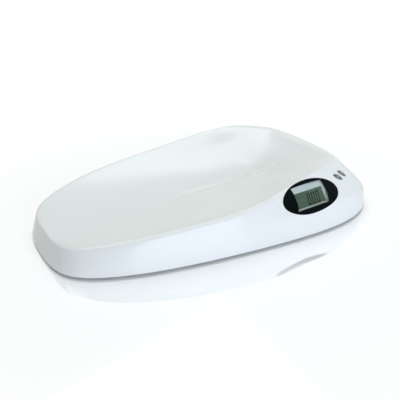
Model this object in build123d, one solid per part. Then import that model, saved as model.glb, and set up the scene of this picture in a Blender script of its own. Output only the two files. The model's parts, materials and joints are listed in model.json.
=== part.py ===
from build123d import *
import math
import os

import numpy as np
from scipy.interpolate import CubicSpline, PchipInterpolator

# Digital baby weighing scale. Millimetres. +X runs from the low, open end of the tray to the high end,
# -Y is the side with the display, +Z is up. The origin is on the floor, under the middle of the tray.

# ---------------------------------------------------------------- driving dimensions: the tray's form
SCALE_LENGTH = 600.0
SKIRT_LIFT = 4.0  # lower edge of the tray's skirt, above the floor
WALL = 3.0  # wall of the moulded tray
RIM_RADIUS = 9.0  # rounding between the side wall and the trough
RIM_BLEND = 5.0  # shortest reach of that rounding, where wall and dome nearly run on
SKIRT_DRAFT = 0.06  # how far the lower side wall leans in, mm per mm of height
DOME_REACH = 17.0  # how far inside the rim the rollover of the high end fades

# Plan of the skirt: (share of the length from the low end, half width)
HALF_WIDTHS = (
    (0.035, 90.0),
    (0.13, 126.0),
    (0.30, 154.0),
    (0.50, 171.0),
    (0.70, 178.0),
    (0.86, 166.0),
    (0.96, 130.0),
)
# Height of the rim: (share of the length, height above the floor)
RIM_HEIGHTS = ((0.0, 39.0), (0.25, 63.0), (0.5, 76.0), (0.75, 93.0), (1.0, 59.0))
# Height of the trough's floor on the middle line, up to the share where the floor has risen to the rim
FLOOR_HEIGHTS = ((0.0, 39.0), (0.15, 39.0), (0.5, 39.0), (0.7, 46.0), (0.8, 68.0))
FLOOR_END = 0.87
# Side wall, at shares of the skirt's outline from the tip of the low end, by way of the display side:
# (share, rim's distance inside the outline, lean of the upper wall in mm per mm, softness of the knee, rollover)
SIDE_WALL = (
    (0.00, 15.5, 0.35, 1.5, 0.00),  # tip of the low end
    (0.12, 6.0, 0.30, 1.5, 0.00),
    (0.25, 15.0, 0.45, 1.5, 0.00),  # middle of the display side
    (0.32, 44.5, 1.05, 1.5, 0.00),  # display
    (0.38, 53.0, 1.15, 3.0, 0.35),  # keys
    (0.44, 52.0, 1.10, 5.0, 0.60),
    (0.50, 40.0, 1.00, 7.0, 0.70),  # tip of the high end
    (0.62, 33.0, 0.90, 5.0, 0.45),
    (0.75, 8.5, 0.35, 2.0, 0.10),  # middle of the far side
    (0.88, 6.0, 0.30, 1.5, 0.00),
)

# ---------------------------------------------------------------- driving dimensions: base plate
BASE_RECESS = 1.0  # base plate's underside above the skirt's lower edge
BASE_THICKNESS = 2.5
BASE_RIM_HEIGHT = 8.0
BASE_RIM_WALL = 2.0
FIT_GAP = 0.3  # clearance between moulded pieces that slip together
RIB_THICKNESS = 2.0
RIB_HEIGHT = 6.0
RIB_LINES_X = (-250.0, -160.0, -95.0, 75.0, 140.0, 260.0)  # ribs across the base
RIB_LINES_Y = (-60.0, 0.0, 60.0)  # ribs along the base

# Places of the base screws round the outline
SCREW_SHARES = (0.05, 0.145, 0.25, 0.415, 0.585, 0.75, 0.855, 0.95)
SCREW_MARGIN = 17.0  # base screws inside the outline
SCREW_SHANK = 3.5
SCREW_LENGTH = 12.0
SCREW_HEAD = 6.6
SCREW_HEAD_HEIGHT = 2.4
SCREW_CLEARANCE = 0.2  # radial, in the base plate
THREAD_FIT = 0.05  # radial, in the boss
BOSS_WALL = 2.6
TOWER_WALL = 2.0
HEAD_SEAT = 2.0  # plate under the screw's head
HEAD_SINK = 0.4  # screw's head inside its counterbore
WEB_CLEARANCE = 1.0  # boss's web above the base's rim
SCREW_POINT_GAP = 1.0  # hole beyond a base screw's tip
CROSS_LENGTH = 0.6  # drive cross, as shares of the head: length and depth
CROSS_WIDTH = 0.15

# ---------------------------------------------------------------- driving dimensions: load cells and feet
CELL_SIZE = 34.0
CELL_THICKNESS = 1.5
CELL_CORNER = 6.0
CELL_SLOT = 2.0  # slot between the cell's frame and its tongue
CELL_FRAME = 4.5  # width of the cell's outer frame
CELL_BRIDGE = 9.0  # width of the strained bridge between frame and tongue
GAUGE_LENGTH = 3.6
GAUGE_WIDTH = 5.0
GAUGE_THICKNESS = 0.4
FOOT_DIAMETER = 28.0
FOOT_THICKNESS = 5.0
FOOT_EDGE = 0.8  # rounding of the foot's edges
FOOT_NECK = 12.0
FOOT_STUD = 6.0
FOOT_STUD_FIT = 0.1  # radial, in the cell's tongue
FOOT_CLIP = 0.8  # height and overhang of the stud's clip above the tongue
PAD_DIAMETER = 24.0
PAD_THICKNESS = 1.8
PAD_EDGE = 0.4
PAD_RECESS = 0.8
CELL_TRAVEL = 1.8  # free height over the cell's tongue
POCKET_WALL = 2.2
RETAINER_THICKNESS = 2.0
RETAINER_HOLE = 18.0
EAR_DIAMETER = 9.0  # screw ears of the retainer
EAR_REACH = 5.0  # centre of each ear outside the cell
NECK_LENGTH = 4.4
LOW_FEET_FROM_END = 88.0
HIGH_FEET_FROM_END = 96.0
FEET_FROM_SIDE = 46.0

# ---------------------------------------------------------------- driving dimensions: battery bay
BATTERY_COUNT = 4
BATTERY_DIAMETER = 14.5
BATTERY_LENGTH = 50.5
BATTERY_NUB = 5.5
BATTERY_NUB_LENGTH = 1.0
BATTERY_EDGE = 0.6  # rounding of a cell's ends
BATTERY_GAP = 0.5  # between neighbouring cells
BATTERY_CLEARANCE = 0.3
SPRING_LENGTH = 4.6
SPRING_WIRE = 0.7
SPRING_RADIUS = 4.0
SPRING_TURNS = 3.0
SPRING_SHARE = 0.9  # length of the coil, as a share of its room
SPRING_FREE = 0.05  # free behind the coil
CONTACT_SIZE = 11.0
CONTACT_THICKNESS = 0.4
BAY_WALL = 2.0
BAY_CENTRE_X = -10.0
DOOR_THICKNESS = 2.0
DOOR_LIP = 3.0  # door's overlap on the bay's edge
DOOR_GAP = 0.4
DOOR_SEAT = 0.1  # free height over the closed door
NOTCH_RADIUS = 9.0  # thumb notch in front of the door
NOTCH_DEPTH = 1.2
NOTCH_MARGIN = 10.8  # raised floor in front of the door, over the notch
HINGE_RADIUS = 3.0
HINGE_PIN = 3.0
HINGE_PIN_LENGTH = 2.6
HINGE_CHEEK = 4.0  # base plate at each end of the hinge
HINGE_FIT = 0.05
LATCH_WIDTH = 14.0
LATCH_NIB = 0.3
GRIP_LINES = 4  # grip lines on the door
GRIP_PITCH = 2.0
GRIP_DEPTH = 0.5

# ---------------------------------------------------------------- driving dimensions: display
DISPLAY_SHARE = 0.31  # place of the display round the outline
DISPLAY_HEIGHT = 66.9
DISPLAY_TILT = 38.5  # elevation of the display's normal
DISPLAY_TURN = 3.0  # turn of the display towards the high end
DISPLAY_SINK = 2.2  # reference plane of the display under the skin at its middle
BEZEL_WIDTH = 121.0
BEZEL_HEIGHT = 57.0
BEZEL_THICKNESS = 2.0
BEZEL_GAP = 0.2
TAPE_THICKNESS = 0.4  # room for the adhesive tape between bezel and ledge
TAPE_PLAY = 0.05  # free on each face of the tape, since bezel and ledge are curved
LEDGE_WIDTH = 3.5
LEDGE_THICKNESS = 3.0
WINDOW_LEFT = 36.4
WINDOW_RIGHT = 34.1  # at the upper corner
WINDOW_TAPER = 5.0  # lower right corner inside the upper one
WINDOW_BOW = 3.4  # bow of both sides, towards the high end
WINDOW_TOP = 20.4
WINDOW_BOTTOM = 18.4
WINDOW_ARCH = 1.2  # rise of the window's curved upper edge
WINDOW_FLANGE = 1.0
WINDOW_FLANGE_THICKNESS = 1.0
WINDOW_FLANGE_INSIDE = 1.5  # flange inside the window's edge
LENS_FIT = 0.1
LCD_DEPTH = 5.0  # face of the glass under the display's reference plane
LCD_LEFT = 35.3
LCD_RIGHT = 31.0
LCD_TOP = 10.8
LCD_BOTTOM = 15.0
LCD_BORDER = 3.0
LCD_THICKNESS = 2.8
FRAME_WALL = 1.2
FRAME_FLOOR = 1.2
ZEBRA_WIDTH = 2.0
ZEBRA_HEIGHT = 4.0
BOARD_THICKNESS = 1.6
BOARD_LENGTH = 104.0
BOARD_CORNER = 1.5
BOARD_TOP = 17.0
BOARD_BOTTOM = 21.0
PARTS_HEIGHT = 5.0  # tallest parts on the back of the main board
CHIP_SIZE = 12.0
CHIP_HEIGHT = 1.6
CHIP_X = -8.0
CAPACITOR_DIAMETER = 5.0
CAPACITORS_X = (12.0, 20.0)
CAPACITORS_Y = -12.0
CONNECTOR_COUNT = 6  # plugs for the four cells, the battery and the keys
CONNECTOR_LENGTH = 8.0
CONNECTOR_WIDTH = 4.5
CONNECTOR_PITCH = 12.0
FIRST_CONNECTOR_X = -34.0
CONNECTORS_Y = 12.0
POST_DIAMETER = 6.0
POST_X = 47.0
POST_Y = 9.0
SMALL_SCREW = 2.2
SMALL_SCREW_LENGTH = 6.0
SMALL_HEAD = 4.2
SMALL_HEAD_HEIGHT = 1.5
PILOT_EXTRA = 0.4  # hole beyond a small screw's tip

# ---------------------------------------------------------------- driving dimensions: keys
KEYS_SHARE = 0.3695
KEYS_HEIGHT = 74.0
KEY_SPACING = 19.0
KEY_SLANT = -46.0  # turn of each leaf-shaped key from level
KEY_LENGTH = 23.0
KEY_BULGE = 5.2  # upper edge's bow
KEY_LOWER_BULGE = 3.8
KEY_TIP = 0.8  # rounding of the tips
KEY_PROUD = 0.6
KEY_GAP = 0.3
KEY_FLANGE = 1.2
KEY_FLANGE_THICKNESS = 1.5
KEY_STEM = 3.4
KEY_TRAVEL = 0.6
KEY_STOP = 0.3  # flange under the tray's wall at rest
SWITCH_SIZE = 6.0
SWITCH_HEIGHT = 3.4
PLUNGER_DIAMETER = 3.4
PLUNGER_HEIGHT = 1.2  # above the switch's housing
PLUNGER_SINK = 1.6  # inside the housing
PLUNGER_FIT = 0.08  # radial
KEY_BOARD_DEPTH = 13.0
KEY_BOARD_LENGTH = 52.0
KEY_BOARD_WIDTH = 20.0
KEY_BOARD_THICKNESS = 1.6
KEY_POST_SPACING = 44.0

# ---------------------------------------------------------------- heights that follow from these
BASE_BOTTOM = SKIRT_LIFT + BASE_RECESS
BASE_TOP = BASE_BOTTOM + BASE_THICKNESS
HEAD_TOP = BASE_BOTTOM + SCREW_HEAD_HEIGHT + HEAD_SINK
TOWER_TOP = HEAD_TOP + HEAD_SEAT
RIB_TOP = BASE_TOP + RIB_HEIGHT
FOOT_BOTTOM = PAD_THICKNESS - PAD_RECESS
FOOT_TOP = FOOT_BOTTOM + FOOT_THICKNESS
CELL_BOTTOM = FOOT_TOP + NECK_LENGTH
CELL_TOP = CELL_BOTTOM + CELL_THICKNESS
POCKET_CEILING = CELL_TOP + CELL_TRAVEL
POCKET_TOP = POCKET_CEILING + POCKET_WALL
CELL_INSIDE = CELL_SIZE - 2 * CELL_FRAME  # inside of the cell's frame
GAUGE_CENTRE = (CELL_INSIDE - CELL_SLOT) / 2  # middle of the bridge, from the cell's centre
DOOR_TOP = BASE_BOTTOM + DOOR_THICKNESS
BATTERY_AXIS = DOOR_TOP + BATTERY_CLEARANCE + BATTERY_DIAMETER / 2
BAY_CEILING = BATTERY_AXIS + BATTERY_DIAMETER / 2 + BATTERY_CLEARANCE
BAY_TOP = BAY_CEILING + BAY_WALL
BATTERY_PITCH = BATTERY_DIAMETER + BATTERY_GAP
BAY_LENGTH_X = BATTERY_COUNT * BATTERY_PITCH + BATTERY_GAP
BAY_LENGTH_Y = BATTERY_LENGTH + SPRING_LENGTH + 2 * CONTACT_THICKNESS

# ================================================================ the tray's form
RING_POINTS = 40  # points round each ring of the form
RING_PARTS = 4  # parts that each ring is divided in
WALL_RINGS = 17  # rings up the wall, about as far apart as those round the rim and across the trough
RIM_RINGS = 4
TROUGH_RINGS = 28
TROUGH_REACH = 0.93  # last ring, as a share of the way to the trough's middle line
SPINE = 0.64  # length of the trough's middle line, as a share of the rim's length
CREST_POINTS = 360
PATCH_MARGIN = 12.0  # skin kept round the display and the keys, for the pieces that follow it
CEILING = max(height for _, height in RIM_HEIGHTS) + 15  # above every part of the tray
shares = [row[0] for row in SIDE_WALL]


def closed_curve(column):
    """A smooth closed run through one column of SIDE_WALL."""
    values = [row[column] for row in SIDE_WALL]
    return CubicSpline(shares + [1.0], values + values[:1], bc_type="periodic")


def closed_steps(column):
    """The same without overshoot, for a column that is zero over a stretch."""
    values = [row[column] for row in SIDE_WALL]
    return PchipInterpolator(shares + [1.0], values + values[:1])


rim_inset, upper_lean, knee = closed_curve(1), closed_curve(2), closed_curve(3)
rollover = closed_steps(4)
rim_height = PchipInterpolator(*zip(*RIM_HEIGHTS))
floor_height = PchipInterpolator(*zip(*(FLOOR_HEIGHTS + ((FLOOR_END, float(rim_height(FLOOR_END))),))))


def skirt_outline():
    """The skirt's closed outline in plan, from the tip of the low end by way of the display side."""
    side = [((share - 0.5) * SCALE_LENGTH, -half) for share, half in HALF_WIDTHS]
    far_side = [(x, -y) for x, y in reversed(side)]
    tip = (-SCALE_LENGTH / 2, 0.0)
    points = np.array([tip, *side, (SCALE_LENGTH / 2, 0.0), *far_side, tip])
    reach = np.concatenate([[0], np.cumsum(np.hypot(*np.diff(points, axis=0).T))])
    return CubicSpline(reach / reach[-1], points, bc_type="periodic")


outline = skirt_outline()


def station(share):
    """A point of the outline, and the outward normal there."""
    point, along = outline(share % 1.0), outline(share % 1.0, 1)
    return point, np.array([along[1], -along[0]]) / math.hypot(*along)


def height_of_rim(x):
    return rim_height(np.clip(x / SCALE_LENGTH + 0.5, 0, 1))


def height_of_floor(x):
    """Height of the trough's middle line; past FLOOR_END it is the rim's height."""
    share = np.clip(x / SCALE_LENGTH + 0.5, 0, 1)
    rising = np.minimum(floor_height(np.minimum(share, FLOOR_END)), height_of_rim(x))
    return np.where(share < FLOOR_END, rising, height_of_rim(x))


def rim_over(share):
    """Height of the rim over a place of the outline."""
    point, normal = station(share)
    return float(height_of_rim((point - normal * rim_inset(share))[0]))


def wall_inset(share, z):
    """How far the side wall stands inside the outline at height z: a skirt, a soft knee, a leaning upper wall."""
    lower = SKIRT_DRAFT * (z - SKIRT_LIFT)
    upper = rim_inset(share) + upper_lean(share) * (z - rim_over(share))
    return float((lower + upper) / 2 + math.hypot((lower - upper) / 2, knee(share)))


def wall_lean(share, z):
    """The side wall's lean, in mm inwards per mm of height."""
    return wall_inset(share, z + 0.5) - wall_inset(share, z - 0.5)


def wall_point(share, z, depth=0.0):
    """A point of the side wall, or of the surface that lies depth inside it."""
    point, normal = station(share)
    place = point - normal * (wall_inset(share, z) + depth * math.hypot(1, wall_lean(share, z)))
    return Vector(place[0], place[1], z)


def wall_normal(share, z):
    """The outward normal of the side wall."""
    step = 0.002
    around = wall_point(share + step, z) - wall_point(share - step, z)
    upward = wall_point(share, z + 1) - wall_point(share, z - 1)
    return around.cross(upward).normalized()


# The rim in plan: points and their outward normals
crest_shares = np.arange(CREST_POINTS) / CREST_POINTS
crest_stations = [station(share) for share in crest_shares]
crest_normals = np.array([normal for _, normal in crest_stations])
crest_points = np.array([point - n * rim_inset(share) for share, (point, n) in zip(crest_shares, crest_stations)])
near_rim = crest_points[crest_points[:, 1] < 0]
far_rim = crest_points[crest_points[:, 1] >= 0]
near_rim, far_rim = (line[np.argsort(line[:, 0])] for line in (near_rim, far_rim))
NARROWEST = min(half for _, half in HALF_WIDTHS)


def top_height(x, y):
    """Height of the trough and of the dome at the high end, for one point in plan."""
    near, far = np.interp(x, *near_rim.T), np.interp(x, *far_rim.T)
    middle, half = (near + far) / 2, max((far - near) / 2, NARROWEST)
    low, high = height_of_floor(x), height_of_rim(x)
    offsets = np.array([x, y]) - crest_points
    nearest = np.argmin((offsets**2).sum(axis=1))
    inside = -float(offsets[nearest] @ crest_normals[nearest])
    roll = float(rollover(crest_shares[nearest])) * inside
    if inside > 0:
        roll *= math.exp(-((inside / DOME_REACH) ** 2) / 2)
    return float(low + (high - low) * ((y - middle) / half) ** 2) + roll


def top_point(x, y, depth):
    """A point of the trough's surface, or of the surface that lies depth under it."""
    slope_x = (top_height(x + 2, y) - top_height(x - 2, y)) / 4
    slope_y = (top_height(x, y + 2) - top_height(x, y - 2)) / 4
    return Vector(x, y, top_height(x, y) - depth * math.hypot(1, slope_x, slope_y))


def rim_rounding(share):
    """The rounding between wall and trough, as a curve of four poles (distance inside the outline, height)."""
    point, normal = station(share)

    def top(inside):
        return top_height(*(point - normal * inside))

    crest, height = float(rim_inset(share)), rim_over(share)
    wall_z, inside = height, crest
    for _ in range(3):
        upward = np.array([wall_lean(share, wall_z), 1])
        inward = np.array([1, (top(inside + 1) - top(inside - 1)) / 2])
        upward, inward = upward / np.hypot(*upward), inward / np.hypot(*inward)
        turn = math.acos(np.clip(upward @ inward, -1, 1))
        reach = max(RIM_RADIUS * math.tan(turn / 2), RIM_BLEND)
        wall_z, inside = height - reach * upward[1], crest + reach * inward[0]
    handle = reach * (2 / 3 if turn < 0.01 else 4 / 3 * math.tan(turn / 4) / math.tan(turn / 2))
    start, end = np.array([wall_inset(share, wall_z), wall_z]), np.array([inside, top(inside)])
    return np.array([start, start + handle * upward, end - handle * inward, end])


def along_rounding(poles, part, depth):
    """A point of the rim's rounding, or of the curve that lies depth under it."""
    rest = 1 - part
    place = np.array([rest**3, 3 * rest**2 * part, 3 * rest * part**2, part**3]) @ poles
    steps = np.diff(poles, axis=0)
    along = np.array([rest**2, 2 * rest * part, part**2]) @ steps
    return place + depth * np.array([along[1], -along[0]]) / np.hypot(*along)


def section(share, depth, bottom):
    """Points from the skirt's edge up the wall, round the rim and on to the trough's middle line."""
    point, normal = station(share)
    poles = rim_rounding(share)
    wall_end = along_rounding(poles, 0, depth)[1]
    levels = bottom + (wall_end - bottom) * np.arange(WALL_RINGS) / WALL_RINGS
    points = [wall_point(share, z, depth) for z in levels]
    for part in np.linspace(0, 1, RIM_RINGS + 1):
        inside, z = along_rounding(poles, part, depth)
        place = point - normal * inside
        points.append(Vector(place[0], place[1], z))
    for part in TROUGH_REACH * np.arange(1, TROUGH_RINGS + 1) / TROUGH_RINGS:
        x = place[0] * (1 - part * (1 - SPINE))
        points.append(top_point(x, place[1] * (1 - part), depth))
    return points


def closed_ring(points):
    """A smooth closed line in four parts, with the same spacing of its parameter for every ring."""
    steps = np.arange(len(points) + 1) / len(points)
    closed = [*points, points[0]]
    curve = CubicSpline(steps, [tuple(point) for point in closed], bc_type="periodic")
    parts = []
    for k in range(RING_PARTS):
        first, last = k * len(points) // RING_PARTS, (k + 1) * len(points) // RING_PARTS
        slopes = [Vector(*curve(steps[end], 1)) for end in (first, last)]
        stretch = closed[first : last + 1]
        parts.append(Edge.make_spline(stretch, tangents=slopes, parameters=steps[first : last + 1], scale=False))
    return Wire(parts)


def tray_form(depth, bottom):
    """The form that lies depth inside the tray's outside, down to the bottom height, as a solid."""
    sections = [section(k / RING_POINTS, depth, bottom) for k in range(RING_POINTS)]
    rings = [closed_ring(points) for points in zip(*sections)]
    skin = Shell.make_loft(rings)
    last = [points[-1] for points in sections]
    across = zip(last[1 : RING_POINTS // 2], reversed(last[RING_POINTS // 2 + 1 :]))
    middle = [top_point((a.X + b.X) / 2, (a.Y + b.Y) / 2, depth) for a, b in across]
    cap = Face.make_surface(rings[-1].edges(), middle[::3])
    floor = Face(rings[0])
    return Solid(Shell([*skin.faces(), cap, floor]))


def prism(plane, sketch, start, end):
    """The sketch, drawn on the plane, as a prism from start to end along the plane's normal."""
    return extrude(plane.offset(start) * sketch, amount=end - start)


def rod(diameter, bottom, top, x=0.0, y=0.0):
    """An upright cylinder between two heights."""
    return Pos(x, y, bottom) * Cylinder(diameter / 2, top - bottom, align=(Align.CENTER, Align.CENTER, Align.MIN))


def slab(size_x, size_y, bottom, top, x=0.0, y=0.0):
    """An upright box between two heights."""
    return Pos(x, y, bottom) * Box(size_x, size_y, top - bottom, align=(Align.CENTER, Align.CENTER, Align.MIN))


def upright(sketch, bottom, top, x=0.0, y=0.0):
    """A sketch in plan, raised between two heights."""
    return extrude(Pos(x, y, bottom) * sketch, amount=top - bottom)


def rectangle(left, right, bottom, top):
    """A rectangle between four lines."""
    return Pos((left + right) / 2, (bottom + top) / 2) * Rectangle(right - left, top - bottom)


def sunk(form, plane, depth):
    """The form, shifted inwards along the plane's normal."""
    return Pos(*(plane.z_dir * -depth)) * form


def joined(pieces):
    """Pieces of one node, fused where they meet."""
    return Part() + list(pieces)


# ================================================================ places on the tray
def display_place():
    """The display's reference plane: x runs level and z along the display's normal."""
    tilt, turn = math.radians(DISPLAY_TILT), math.radians(DISPLAY_TURN)
    normal = Vector(math.sin(turn) * math.cos(tilt), -math.cos(turn) * math.cos(tilt), math.sin(tilt))
    level = Vector(math.cos(turn), math.sin(turn), 0)
    skin = wall_point(DISPLAY_SHARE, DISPLAY_HEIGHT)
    return Plane(origin=skin - normal * DISPLAY_SINK, x_dir=level, z_dir=normal)


def keys_place():
    """The plane of the two keys, square to the skin midway between them."""
    normal = wall_normal(KEYS_SHARE, KEYS_HEIGHT)
    level = Vector(0, 0, 1).cross(normal).normalized()
    return Plane(origin=wall_point(KEYS_SHARE, KEYS_HEIGHT), x_dir=level, z_dir=normal)


def half_width(x):
    """Half the width of the skirt's outline at a distance along the tray."""
    places = outline(np.linspace(0.02, 0.48, 60))
    return float(np.interp(x, places[:, 0], -places[:, 1]))


def feet_places():
    """Name and plan position of each foot."""
    places = {}
    ends = {"low": -SCALE_LENGTH / 2 + LOW_FEET_FROM_END, "high": SCALE_LENGTH / 2 - HIGH_FEET_FROM_END}
    for end, x in ends.items():
        y = half_width(x) - FEET_FROM_SIDE
        places[f"near_{end}"] = (x, -y)
        places[f"far_{end}"] = (x, y)
    return places


def screw_places():
    """Plan position of each base screw, and the outward normal there."""
    return [(point - normal * SCREW_MARGIN, normal) for point, normal in map(station, SCREW_SHARES)]


display_plane, keys_plane = display_place(), keys_place()
key_places = {"on_off": Pos(-KEY_SPACING / 2, 0), "zero": Pos(KEY_SPACING / 2, 0)}
feet = feet_places()

# Depths behind the display's reference plane, and behind the keys' plane
GLASS_FACE = -LCD_DEPTH
GLASS_BACK = GLASS_FACE - LCD_THICKNESS
BOARD_FACE = GLASS_BACK - ZEBRA_HEIGHT
BOARD_BACK = BOARD_FACE - BOARD_THICKNESS
WINDOW_BACK = BEZEL_THICKNESS + WINDOW_FLANGE_THICKNESS  # under the skin
KEY_BOARD_FACE = -KEY_BOARD_DEPTH
KEY_BOARD_BACK = KEY_BOARD_FACE - KEY_BOARD_THICKNESS
SWITCH_FACE = KEY_BOARD_FACE + SWITCH_HEIGHT
PLUNGER_FACE = SWITCH_FACE + PLUNGER_HEIGHT
KEY_BACK = -(WALL + KEY_STOP + KEY_FLANGE_THICKNESS)
post_places = [(x, y) for x in (-POST_X, POST_X) for y in (-POST_Y, POST_Y)]
key_post_places = [(-KEY_POST_SPACING / 2, 0.0), (KEY_POST_SPACING / 2, 0.0)]
DEEP = 60.0  # behind every piece that follows the skin
PROUD = 15.0  # in front of the skin's bulge over a local plane

# The tray's outside and its hollow
skin_form = tray_form(0, SKIRT_LIFT)
hollow_form = tray_form(WALL, SKIRT_LIFT)


# ================================================================ outlines
def leaf(grow=0.0):
    """Outline of a leaf-shaped key: two arcs that meet in rounded tips, grown all round."""
    half = KEY_LENGTH / 2
    upper = ThreePointArc((half, 0), (0, KEY_BULGE), (-half, 0))
    lower = ThreePointArc((-half, 0), (0, -KEY_LOWER_BULGE), (half, 0))
    shape = make_face([upper.edge(), lower.edge()])
    shape = fillet(shape.vertices(), KEY_TIP)
    return Rot(0, 0, KEY_SLANT) * (offset(shape, grow) if grow else shape)


def window_outline(grow=0.0):
    """Outline of the display window: an arched upper edge, and two sides that bow the same way."""
    left, right = -WINDOW_LEFT - grow, WINDOW_RIGHT + grow
    top, bottom, middle = WINDOW_TOP + grow, -WINDOW_BOTTOM - grow, (WINDOW_TOP - WINDOW_BOTTOM) / 2
    low_right = right - WINDOW_TAPER
    edges = [
        ThreePointArc((right, top), ((left + right) / 2, top + WINDOW_ARCH), (left, top)),
        ThreePointArc((left, top), (left + WINDOW_BOW, middle), (left, bottom)),
        Line((left, bottom), (low_right, bottom)),
        ThreePointArc((low_right, bottom), ((right + low_right) / 2 + WINDOW_BOW, middle), (right, top)),
    ]
    return make_face([edge.edge() for edge in edges])


def bezel_outline(grow=0.0):
    """The display's oval."""
    return Ellipse(BEZEL_WIDTH / 2 + grow, BEZEL_HEIGHT / 2 + grow)


def glass_outline(grow=0.0):
    """The LCD glass: its active area with a border all round."""
    edge = LCD_BORDER + grow
    return rectangle(-LCD_LEFT - edge, LCD_RIGHT + edge, -LCD_BOTTOM - edge, LCD_TOP + edge)


def display_opening():
    """Opening inside the display's ledge: an oval, widened where the lens and the LCD's frame pass."""
    oval = bezel_outline(BEZEL_GAP - LEDGE_WIDTH)
    return oval + window_outline(FRAME_WALL + FIT_GAP) + glass_outline(2 * FIT_GAP + FRAME_WALL)


def patch(form, plane, width, height):
    """The part of a form that lies round a local plane."""
    return prism(plane, Rectangle(width + 2 * PATCH_MARGIN, height + 2 * PATCH_MARGIN), -DEEP, PROUD) & form


display_skin = patch(skin_form, display_plane, BEZEL_WIDTH, BEZEL_HEIGHT)
keys_skin = patch(skin_form, keys_plane, KEY_SPACING + KEY_LENGTH, KEY_LENGTH)
keys_hollow = patch(hollow_form, keys_plane, KEY_SPACING + KEY_LENGTH, KEY_LENGTH)


# ================================================================ tray
def screw_bosses():
    """Bosses for the base screws, each with a web to the side wall, longer than the hollow is high."""
    bosses = []
    web_bottom = BASE_BOTTOM + BASE_RIM_HEIGHT + WEB_CLEARANCE
    hole_end = HEAD_TOP + SCREW_LENGTH + SCREW_POINT_GAP
    for (x, y), normal in screw_places():
        angle = math.degrees(math.atan2(normal[1], normal[0]))
        web = slab(SCREW_MARGIN, RIB_THICKNESS, web_bottom, CEILING, SCREW_MARGIN / 2)
        boss = rod(SCREW_SHANK + 2 * BOSS_WALL, TOWER_TOP, CEILING) + Rot(0, 0, angle) * web
        boss = boss - rod(SCREW_SHANK + 2 * THREAD_FIT, TOWER_TOP - 1, hole_end)
        bosses.append(Pos(x, y) * boss)
    return bosses


def board_posts():
    """Posts for the key board, longer than the wall is far."""
    post = Circle(POST_DIAMETER / 2)
    pilot_end = KEY_BOARD_BACK + SMALL_SCREW_LENGTH + PILOT_EXTRA
    posts = []
    for x, y in key_post_places:
        place = Pos(x, y)
        pilot = prism(keys_plane, place * small_pilot(), KEY_BOARD_FACE, pilot_end)
        posts.append(prism(keys_plane, place * post, KEY_BOARD_FACE, PROUD) - pilot)
    return posts


def display_ledge():
    """The ring that thickens the wall round the display's opening."""
    back = BEZEL_THICKNESS + TAPE_THICKNESS + LEDGE_THICKNESS
    ring = prism(display_plane, bezel_outline(BEZEL_GAP + LEDGE_WIDTH), -DEEP, PROUD)
    return ring - sunk(display_skin, display_plane, back)


def hollowed(outside, inside):
    """The solid between two forms that stand on one level, closed by the ring between their lowest outlines."""
    outer_faces, inner_faces = outside.faces().sort_by(Axis.Z), inside.faces().sort_by(Axis.Z)
    ring = Face(outer_faces[0].outer_wire(), [inner_faces[0].outer_wire()])
    return Solid(Shell(outer_faces[1:] + inner_faces[1:] + [ring]))


def make_tray_shell():
    """The moulded tray: a shell with the display's ledge, the key openings, bosses and posts."""
    inside = hollow_form - [display_ledge(), *board_posts(), *screw_bosses()]
    shell = hollowed(skin_form, inside)
    seat = sunk(display_skin, display_plane, BEZEL_THICKNESS + TAPE_THICKNESS)
    cuts = [prism(display_plane, bezel_outline(BEZEL_GAP), -DEEP, PROUD) - seat]
    cuts.append(prism(display_plane, display_opening(), -DEEP / 2, PROUD))
    for place in key_places.values():
        cuts.append(prism(keys_plane, place * leaf(KEY_GAP), 2 * KEY_BACK, PROUD))
    return shell - cuts


def small_pilot():
    """Section of the hole that a small screw cuts its thread in."""
    return Circle(SMALL_SCREW / 2 + THREAD_FIT)


# ================================================================ screws
def cross_screw(shank, length, head, head_height):
    """A pan-head screw that points up, with its head's top at the origin's height."""
    screw = rod(shank, 0, length)
    tip = screw.edges().sort_by(Axis.Z)[-1]
    screw = chamfer(tip, shank / 4)
    cap = rod(head, -head_height, 0)
    cap = fillet(cap.edges().sort_by(Axis.Z)[0], head_height / 2)
    screw = screw + cap
    for turn in (0, 90):
        slot = slab(head * CROSS_LENGTH, head * CROSS_WIDTH, 0, head_height * CROSS_LENGTH)
        screw = screw - Pos(0, 0, -head_height) * Rot(0, 0, turn) * slot
    return screw


def small_screws(places):
    """Small screws whose heads bear on a board or a retainer: one per place, given as locations."""
    screw = cross_screw(SMALL_SCREW, SMALL_SCREW_LENGTH, SMALL_HEAD, SMALL_HEAD_HEIGHT)
    return [place * screw for place in places]


def make_base_screws():
    screw = cross_screw(SCREW_SHANK, SCREW_LENGTH, SCREW_HEAD, SCREW_HEAD_HEIGHT)
    return [Pos(x, y, HEAD_TOP) * screw for (x, y), _ in screw_places()]


# ================================================================ base plate
def plan_inside(z, depth):
    """Plan of what lies depth inside the side wall at one height."""
    ring = closed_ring([wall_point(k / RING_POINTS, z, depth) for k in range(RING_POINTS)])
    return Pos(0, 0, -z) * Face(ring)


def rounded_square(side, corner):
    return RectangleRounded(side, side, corner)


def cell_outline(grow=0.0):
    """Outline of a load cell, grown all round."""
    return rounded_square(CELL_SIZE + 2 * grow, CELL_CORNER + grow)


def ear_places():
    """The two screw ears of a retainer, from its centre."""
    reach = CELL_SIZE / 2 + EAR_REACH
    return [(-reach, 0.0), (reach, 0.0)]


def retainer_outline(grow=0.0):
    """Outline of a retainer: the cell's square with two ears."""
    shape = cell_outline(grow)
    for x, y in ear_places():
        ear = Pos(x, y) * Circle(EAR_DIAMETER / 2 + grow)
        neck = Pos(x - math.copysign(EAR_REACH / 2, x), y) * Rectangle(EAR_REACH, EAR_DIAMETER + 2 * grow)
        shape = shape + ear + neck
    return shape


def bay_outline(grow=0.0):
    """Outline of the battery bay, grown all round."""
    return Rectangle(BAY_LENGTH_X + 2 * grow, BAY_LENGTH_Y + 2 * grow)


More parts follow.
